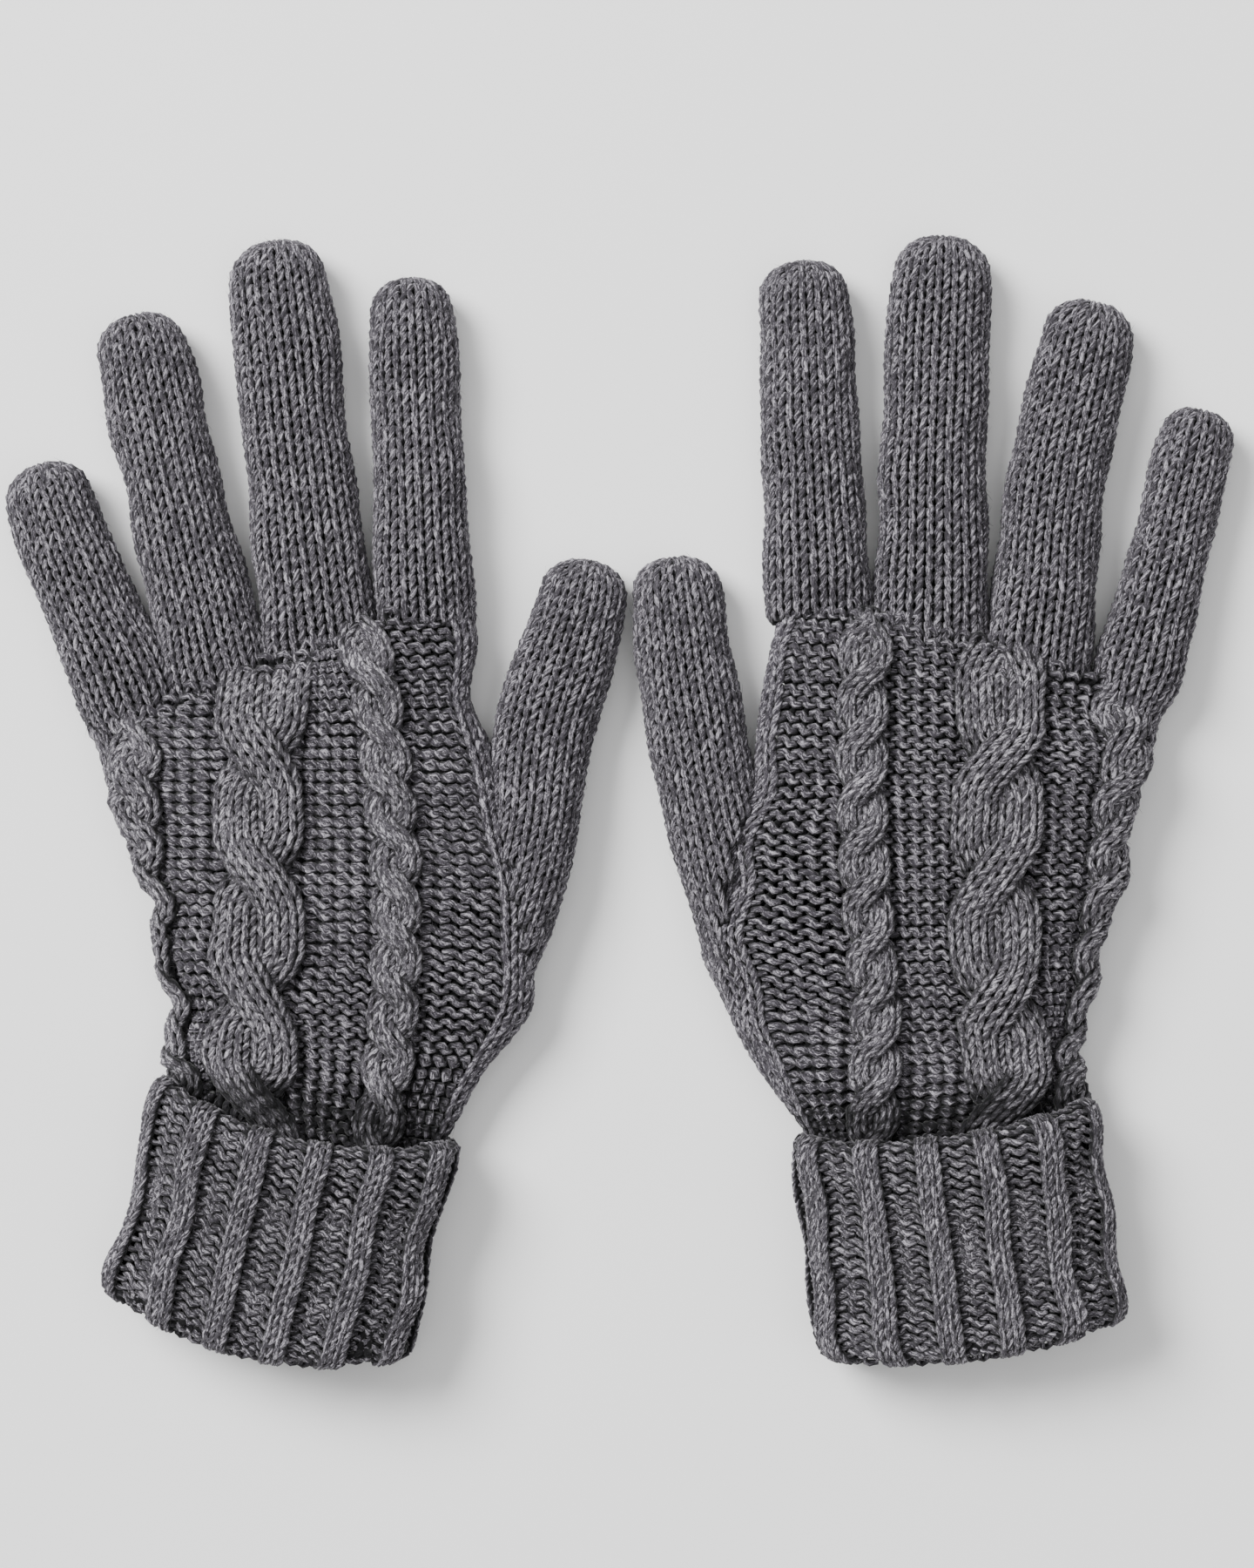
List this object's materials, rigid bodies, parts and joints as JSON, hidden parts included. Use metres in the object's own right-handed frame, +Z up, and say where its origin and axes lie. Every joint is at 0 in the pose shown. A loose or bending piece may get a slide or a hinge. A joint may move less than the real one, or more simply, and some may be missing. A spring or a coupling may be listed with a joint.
{
  "type": "pair of knitted gloves",
  "caption": "Pair of full-finger knitted gloves with cabled backs and turned-back ribbed cuffs, laid flat; fingers fold and cuffs unfold.",
  "frame": {"origin": "centre of the pair's box in plan, on the surface that the gloves lie on", "axes": "+Y towards the fingertips, +X towards the right-hand glove, +Z up out of the backs of the hands"},
  "size_m": [0.3026, 0.2812, 0.029],
  "materials": {
    "back_knit": "charcoal marl wool, reverse stockinette",
    "plain_knit": "charcoal marl wool, stockinette",
    "cable_knit": "charcoal marl wool, raised cables",
    "rib_knit": "charcoal marl wool, knit and purl rib"
  },
  "bodies": {
    "left_hand": {"left_back_panel": "back_knit", "left_palm_panel": "plain_knit", "left_thumb_gusset": "plain_knit", "left_wide_cable": "cable_knit", "left_narrow_cable": "cable_knit", "left_edge_cable": "cable_knit", "left_cuff_sleeve": "rib_knit"},
    "left_cuff": {"left_cuff_turnback": "rib_knit"},
    "left_little_lower": {"left_little_lower": "plain_knit"},
    "left_little_upper": {"left_little_upper": "plain_knit", "left_little_closure": "plain_knit"},
    "left_ring_lower": {"left_ring_lower": "plain_knit"},
    "left_ring_upper": {"left_ring_upper": "plain_knit", "left_ring_closure": "plain_knit"},
    "left_middle_lower": {"left_middle_lower": "plain_knit"},
    "left_middle_upper": {"left_middle_upper": "plain_knit", "left_middle_closure": "plain_knit"},
    "left_index_lower": {"left_index_lower": "plain_knit"},
    "left_index_upper": {"left_index_upper": "plain_knit", "left_index_closure": "plain_knit"},
    "left_thumb_lower": {"left_thumb_lower": "plain_knit"},
    "left_thumb_upper": {"left_thumb_upper": "plain_knit", "left_thumb_closure": "plain_knit"},
    "right_hand": {"right_back_panel": "back_knit", "right_palm_panel": "plain_knit", "right_thumb_gusset": "plain_knit", "right_wide_cable": "cable_knit", "right_narrow_cable": "cable_knit", "right_edge_cable": "cable_knit", "right_cuff_sleeve": "rib_knit"},
    "right_cuff": {"right_cuff_turnback": "rib_knit"},
    "right_little_lower": {"right_little_lower": "plain_knit"},
    "right_little_upper": {"right_little_upper": "plain_knit", "right_little_closure": "plain_knit"},
    "right_ring_lower": {"right_ring_lower": "plain_knit"},
    "right_ring_upper": {"right_ring_upper": "plain_knit", "right_ring_closure": "plain_knit"},
    "right_middle_lower": {"right_middle_lower": "plain_knit"},
    "right_middle_upper": {"right_middle_upper": "plain_knit", "right_middle_closure": "plain_knit"},
    "right_index_lower": {"right_index_lower": "plain_knit"},
    "right_index_upper": {"right_index_upper": "plain_knit", "right_index_closure": "plain_knit"},
    "right_thumb_lower": {"right_thumb_lower": "plain_knit"},
    "right_thumb_upper": {"right_thumb_upper": "plain_knit", "right_thumb_closure": "plain_knit"}
  },
  "joints": [
    {"name": "left_cuff_unfold", "type": "slide", "parent": "left_hand", "child": "left_cuff", "axis": [-0.2233, -0.9748, 0], "range_m": [0, 0.05]},
    {"name": "left_little_root", "type": "hinge", "parent": "left_hand", "child": "left_little_lower", "pos_m": [-0.12064, 0.02041, 0.017], "axis": [0.9372, 0.3488, 0], "range_deg": [0, 70]},
    {"name": "left_little_crease", "type": "hinge", "parent": "left_little_lower", "child": "left_little_upper", "pos_m": [-0.1325, 0.05179, 0.017], "axis": [0.9372, 0.3488, 0], "range_deg": [0, 75]},
    {"name": "left_ring_root", "type": "hinge", "parent": "left_hand", "child": "left_ring_lower", "pos_m": [-0.09744, 0.02911, 0.017], "axis": [0.9372, 0.3488, 0], "range_deg": [0, 70]},
    {"name": "left_ring_crease", "type": "hinge", "parent": "left_ring_lower", "child": "left_ring_upper", "pos_m": [-0.10875, 0.07494, 0.017], "axis": [0.9372, 0.3488, 0], "range_deg": [0, 75]},
    {"name": "left_middle_root", "type": "hinge", "parent": "left_hand", "child": "left_middle_lower", "pos_m": [-0.07274, 0.03821, 0.017], "axis": [0.9372, 0.3488, 0], "range_deg": [0, 70]},
    {"name": "left_middle_crease", "type": "hinge", "parent": "left_middle_lower", "child": "left_middle_upper", "pos_m": [-0.07885, 0.08874, 0.017], "axis": [0.9372, 0.3488, 0], "range_deg": [0, 75]},
    {"name": "left_index_root", "type": "hinge", "parent": "left_hand", "child": "left_index_lower", "pos_m": [-0.04704, 0.04781, 0.017], "axis": [0.9372, 0.3488, 0], "range_deg": [0, 70]},
    {"name": "left_index_crease", "type": "hinge", "parent": "left_index_lower", "child": "left_index_upper", "pos_m": [-0.0489, 0.08889, 0.017], "axis": [0.9372, 0.3488, 0], "range_deg": [0, 75]},
    {"name": "left_thumb_root", "type": "hinge", "parent": "left_hand", "child": "left_thumb_lower", "pos_m": [-0.01791, 0.01622, 0.017], "axis": [0.9699, -0.2436, 0], "range_deg": [0, 60]},
    {"name": "left_thumb_crease", "type": "hinge", "parent": "left_thumb_lower", "child": "left_thumb_upper", "pos_m": [-0.01245, 0.03794, 0.017], "axis": [0.9699, -0.2436, 0], "range_deg": [0, 60]},
    {"name": "right_glove_lift", "type": "slide", "parent": "left_hand", "child": "right_hand", "axis": [0, 0, 1], "range_m": [0, 0.06]},
    {"name": "right_cuff_unfold", "type": "slide", "parent": "right_hand", "child": "right_cuff", "axis": [0.1323, -0.9912, 0], "range_m": [0, 0.05]},
    {"name": "right_little_root", "type": "hinge", "parent": "right_hand", "child": "right_little_lower", "pos_m": [0.12562, 0.02652, 0.017], "axis": [0.9534, -0.3017, 0], "range_deg": [0, 70]},
    {"name": "right_little_crease", "type": "hinge", "parent": "right_little_lower", "child": "right_little_upper", "pos_m": [0.135, 0.06184, 0.017], "axis": [0.9534, -0.3017, 0], "range_deg": [0, 75]},
    {"name": "right_ring_root", "type": "hinge", "parent": "right_hand", "child": "right_ring_lower", "pos_m": [0.10422, 0.03322, 0.017], "axis": [0.9534, -0.3017, 0], "range_deg": [0, 70]},
    {"name": "right_ring_crease", "type": "hinge", "parent": "right_ring_lower", "child": "right_ring_upper", "pos_m": [0.10925, 0.07859, 0.017], "axis": [0.9534, -0.3017, 0], "range_deg": [0, 75]},
    {"name": "right_middle_root", "type": "hinge", "parent": "right_hand", "child": "right_middle_lower", "pos_m": [0.07812, 0.04152, 0.017], "axis": [0.9534, -0.3017, 0], "range_deg": [0, 70]},
    {"name": "right_middle_crease", "type": "hinge", "parent": "right_middle_lower", "child": "right_middle_upper", "pos_m": [0.07905, 0.09104, 0.017], "axis": [0.9534, -0.3017, 0], "range_deg": [0, 75]},
    {"name": "right_index_root", "type": "hinge", "parent": "right_hand", "child": "right_index_lower", "pos_m": [0.05032, 0.05022, 0.017], "axis": [0.9534, -0.3017, 0], "range_deg": [0, 70]},
    {"name": "right_index_crease", "type": "hinge", "parent": "right_index_lower", "child": "right_index_upper", "pos_m": [0.04835, 0.09224, 0.017], "axis": [0.9534, -0.3017, 0], "range_deg": [0, 75]},
    {"name": "right_thumb_root", "type": "hinge", "parent": "right_hand", "child": "right_thumb_lower", "pos_m": [0.02013, 0.01723, 0.017], "axis": [0.9877, 0.1561, 0], "range_deg": [0, 60]},
    {"name": "right_thumb_crease", "type": "hinge", "parent": "right_thumb_lower", "child": "right_thumb_upper", "pos_m": [0.0167, 0.03899, 0.017], "axis": [0.9877, 0.1561, 0], "range_deg": [0, 60]}
  ]
}
